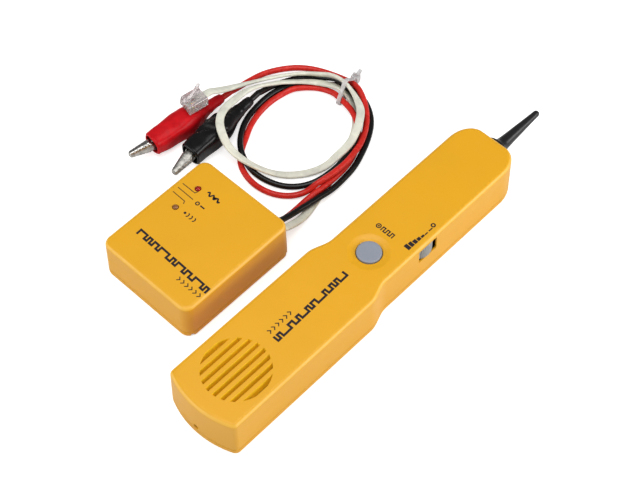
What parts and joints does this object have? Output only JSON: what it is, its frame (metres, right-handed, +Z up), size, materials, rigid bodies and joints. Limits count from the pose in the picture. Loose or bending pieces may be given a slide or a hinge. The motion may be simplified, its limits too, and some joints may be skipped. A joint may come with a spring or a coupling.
{
  "type": "tone probe kit",
  "caption": "Tone probe kit: a yellow battery sender box with clip leads and a phone lead, and a long yellow receiver with speaker grille, test button, volume wheel and probe tip.",
  "frame": {"origin": "on the receiver's flat back, midway across its slim end, level with the floor both housings lie on", "axes": "+X along the receiver towards its probe tip, +Y across from the receiver towards the sender, +Z up out of the receiver's face"},
  "size_m": [0.2613, 0.1698, 0.0316],
  "materials": {
    "yellow_shell": "satin moulded ABS",
    "grey_button": "satin",
    "grey_wheel": "satin, ribbed rim",
    "black_probe": "conductive black plastic, slight sheen",
    "ferrite": "sintered, matt",
    "board_green": "solder mask",
    "battery_case": "printed jacket",
    "black_plastic": "moulded",
    "steel": "bright nickel plate",
    "speaker_frame": "plated",
    "speaker_paper": "pulp cone",
    "capacitor_sleeve": "shrink sleeve",
    "red_lens": "tinted epoxy",
    "amber_lens": "tinted epoxy",
    "red_vinyl": "soft glossy vinyl",
    "black_vinyl": "soft glossy vinyl",
    "ivory_vinyl": "soft vinyl",
    "clear_plastic": "clear polycarbonate",
    "gold_contact": "gold flash",
    "clear_nylon": "translucent nylon"
  },
  "bodies": {
    "sender_unit": {"tx_top_shell": "yellow_shell", "tx_back_shell": "yellow_shell", "tx_screw_1": "steel", "tx_screw_2": "steel", "tx_screw_3": "steel", "tx_screw_4": "steel", "tx_battery": "battery_case", "tx_battery_snap": "black_plastic", "tx_circuit_board": "board_green", "tx_mode_switch_body": "steel", "tx_tone_led": "red_lens", "tx_cont_led": "amber_lens", "tx_tone_chip": "black_plastic", "tx_capacitor": "capacitor_sleeve", "red_clip_boot": "red_vinyl", "red_clip_jaw_fixed": "steel", "red_clip_pivot_pin": "steel", "red_clip_jaw_spring": "steel", "black_clip_boot": "black_vinyl", "black_clip_jaw_fixed": "steel", "black_clip_pivot_pin": "steel", "black_clip_jaw_spring": "steel", "plug_body": "clear_plastic", "plug_contact_1": "gold_contact", "plug_contact_2": "gold_contact", "plug_contact_3": "gold_contact", "plug_contact_4": "gold_contact", "red_wire": "red_vinyl", "black_wire": "black_vinyl", "phone_cable": "ivory_vinyl", "cable_tie": "clear_nylon"},
    "receiver": {"rx_top_shell": "yellow_shell", "rx_back_shell": "yellow_shell", "rx_screw_1": "steel", "rx_screw_2": "steel", "rx_screw_3": "steel", "rx_screw_4": "steel", "rx_screw_5": "steel", "rx_screw_6": "steel", "rx_circuit_board": "board_green", "rx_battery": "battery_case", "rx_battery_snap": "black_plastic", "rx_speaker_basket": "speaker_frame", "rx_speaker_diaphragm": "speaker_paper", "rx_tact_switch": "black_plastic", "rx_volume_pot": "black_plastic", "rx_amplifier_chip": "black_plastic", "rx_capacitor": "capacitor_sleeve", "rx_probe_tip": "black_probe", "rx_pickup_rod": "ferrite"},
    "receiver_door": {"rx_battery_door": "yellow_shell"},
    "test_button": {"rx_test_button": "grey_button"},
    "volume_wheel": {"rx_volume_wheel": "grey_wheel"},
    "sender_door": {"tx_battery_door": "yellow_shell"},
    "mode_switch": {"tx_mode_switch_knob": "black_plastic"},
    "red_jaw": {"red_clip_jaw_moving": "steel"},
    "black_jaw": {"black_clip_jaw_moving": "steel"},
    "latch": {"plug_latch": "clear_plastic"}
  },
  "joints": [
    {"name": "receiver_lift", "type": "slide", "parent": "sender_unit", "child": "receiver", "axis": [0, 0, 1], "range_m": [0, 0.06]},
    {"name": "mode_switch_slide", "type": "slide", "parent": "sender_unit", "child": "mode_switch", "axis": [1, 0, 0], "range_m": [-0.0036, 0.0036]},
    {"name": "sender_door_slide", "type": "slide", "parent": "sender_unit", "child": "sender_door", "axis": [0, 1, 0], "range_m": [0, 0.025]},
    {"name": "red_jaw_hinge", "type": "hinge", "parent": "sender_unit", "child": "red_jaw", "pos_m": [-0.05126, 0.14045, 0.00765], "axis": [0.1251, 0.187, 0.9744], "range_deg": [0, 24]},
    {"name": "black_jaw_hinge", "type": "hinge", "parent": "sender_unit", "child": "black_jaw", "pos_m": [-0.04174, 0.12118, 0.00811], "axis": [-0.119, 0.9833, 0.1376], "range_deg": [0, 24]},
    {"name": "plug_latch_flex", "type": "hinge", "parent": "sender_unit", "child": "latch", "pos_m": [-0.02666, 0.13967, 0.02284], "axis": [0.1578, 0.9861, 0.0523], "range_deg": [0, 13]},
    {"name": "test_button_press", "type": "slide", "parent": "receiver", "child": "test_button", "axis": [0, 0, -1], "range_m": [0, 0.001]},
    {"name": "volume_wheel_turn", "type": "hinge", "parent": "receiver", "child": "volume_wheel", "pos_m": [-0.0093, -0.0111, 0.0198], "axis": [0, 0, 1], "range_deg": [0, 290]},
    {"name": "receiver_door_slide", "type": "slide", "parent": "receiver", "child": "receiver_door", "axis": [0, 1, 0], "range_m": [0, 0.014]}
  ]
}
